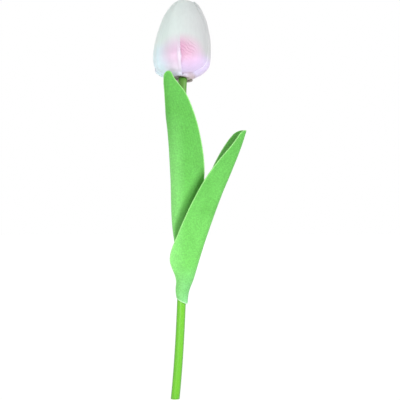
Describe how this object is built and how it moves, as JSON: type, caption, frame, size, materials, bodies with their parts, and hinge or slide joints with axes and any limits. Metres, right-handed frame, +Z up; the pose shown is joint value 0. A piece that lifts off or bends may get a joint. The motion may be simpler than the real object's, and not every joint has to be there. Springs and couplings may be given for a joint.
{
  "type": "artificial tulip",
  "caption": "Single-stem artificial tulip: closed blush bud with overlapping petals on a pull-off receptacle, bendable wire-cored stem and folded clasping leaves.",
  "frame": {"origin": "centre of the stem's cut lower end", "axes": "+Z up the stem, +X to the right in the picture, where the short leaf leans, -Y to the front"},
  "size_m": [0.0693, 0.048, 0.3009],
  "materials": {
    "stem_plastic": "satin light green moulded soft plastic",
    "core_wire": "plain drawn wire",
    "leaf_fabric": "matt green rubber-coated cloth with a fine grain and pale cut edges",
    "outer_petal_foam": "soft satin polyurethane skin, white with a sprayed pink and lilac blush",
    "inner_petal_foam": "soft satin polyurethane skin, white with a sprayed pink and lilac blush",
    "receptacle_plastic": "pale green moulded plastic",
    "pistil_plastic": "yellow-green moulded plastic",
    "stamen_plastic": "mustard moulded plastic with a powdery coat"
  },
  "bodies": {
    "stem_base": {"stem_sleeve_lower": "stem_plastic", "stem_wire_lower": "core_wire"},
    "stem_middle": {"stem_sleeve_middle": "stem_plastic", "stem_wire_middle": "core_wire", "tall_leaf": "leaf_fabric", "short_leaf": "leaf_fabric"},
    "neck": {"stem_sleeve_upper": "stem_plastic", "stem_wire_upper": "core_wire"},
    "flower_head": {"receptacle": "receptacle_plastic", "outer_petal_1": "outer_petal_foam", "outer_petal_2": "outer_petal_foam", "outer_petal_3": "outer_petal_foam", "inner_petal_1": "inner_petal_foam", "inner_petal_2": "inner_petal_foam", "inner_petal_3": "inner_petal_foam", "pistil": "pistil_plastic", "stamen_1": "stamen_plastic", "stamen_2": "stamen_plastic", "stamen_3": "stamen_plastic", "stamen_4": "stamen_plastic", "stamen_5": "stamen_plastic", "stamen_6": "stamen_plastic"}
  },
  "joints": [
    {"name": "base_bend", "type": "hinge", "parent": "stem_base", "child": "stem_middle", "pos_m": [0.00308, 0, 0.0389], "axis": [0, 1, 0], "range_deg": [-45, 45]},
    {"name": "neck_bend", "type": "hinge", "parent": "stem_middle", "child": "neck", "pos_m": [0.00569, 0, 0.1894], "axis": [0, 1, 0], "range_deg": [0, 45]},
    {"name": "head_pull", "type": "slide", "parent": "neck", "child": "flower_head", "axis": [0.0894, 0.1373, 0.9865], "range_m": [0, 0.018]}
  ]
}
